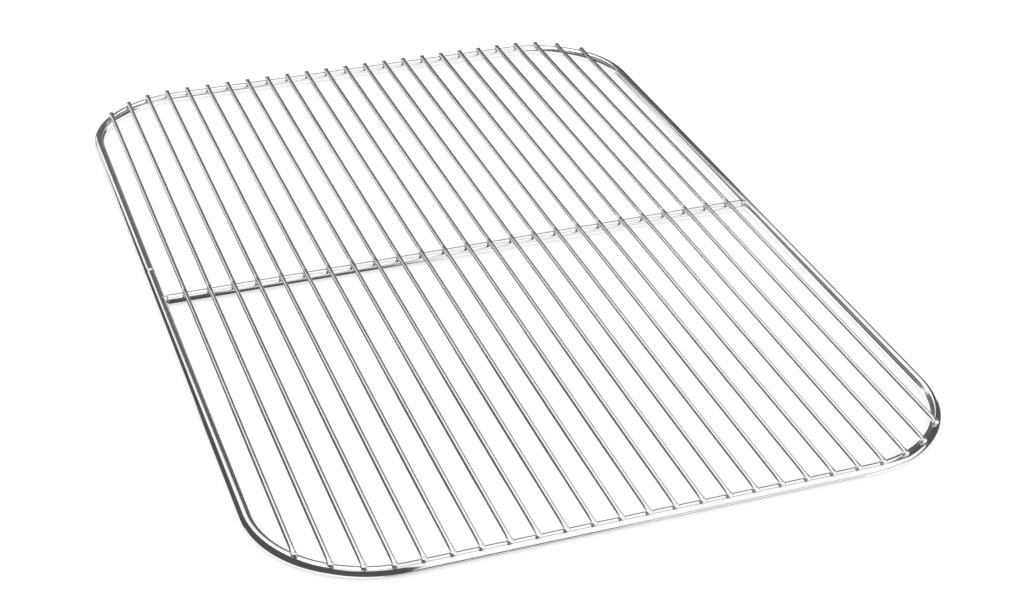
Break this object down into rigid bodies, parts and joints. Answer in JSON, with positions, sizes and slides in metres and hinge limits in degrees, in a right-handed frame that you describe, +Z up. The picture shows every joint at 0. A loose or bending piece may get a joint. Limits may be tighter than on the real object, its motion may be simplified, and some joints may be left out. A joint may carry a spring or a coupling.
{
  "type": "cooling rack",
  "caption": "Flat oblong wire cooling rack in polished stainless steel: a round-rod frame with rounded corners, thin grid wires lying lengthwise on it, and a cross bar beneath them.",
  "frame": {"origin": "on the surface that the rack lies on, under the middle of the frame", "axes": "+X across the rack, +Y along its length and along the grid wires, towards the rear, +Z up from the frame to the grid wires"},
  "size_m": [0.4, 0.6, 0.0084],
  "materials": {
    "frame_steel": "electropolished stainless steel rod, bright",
    "cross_bar_steel": "electropolished stainless steel rod, bright",
    "grid_wire_steel": "electropolished drawn stainless steel wire, bright"
  },
  "bodies": {
    "root": {"frame_ring": "frame_steel", "cross_bar": "cross_bar_steel", "grid_wire_01": "grid_wire_steel", "grid_wire_02": "grid_wire_steel", "grid_wire_03": "grid_wire_steel", "grid_wire_04": "grid_wire_steel", "grid_wire_05": "grid_wire_steel", "grid_wire_06": "grid_wire_steel", "grid_wire_07": "grid_wire_steel", "grid_wire_08": "grid_wire_steel", "grid_wire_09": "grid_wire_steel", "grid_wire_10": "grid_wire_steel", "grid_wire_11": "grid_wire_steel", "grid_wire_12": "grid_wire_steel", "grid_wire_13": "grid_wire_steel", "grid_wire_14": "grid_wire_steel", "grid_wire_15": "grid_wire_steel", "grid_wire_16": "grid_wire_steel", "grid_wire_17": "grid_wire_steel", "grid_wire_18": "grid_wire_steel", "grid_wire_19": "grid_wire_steel", "grid_wire_20": "grid_wire_steel", "grid_wire_21": "grid_wire_steel", "grid_wire_22": "grid_wire_steel", "grid_wire_23": "grid_wire_steel", "grid_wire_24": "grid_wire_steel", "grid_wire_25": "grid_wire_steel"}
  },
  "joints": []
}
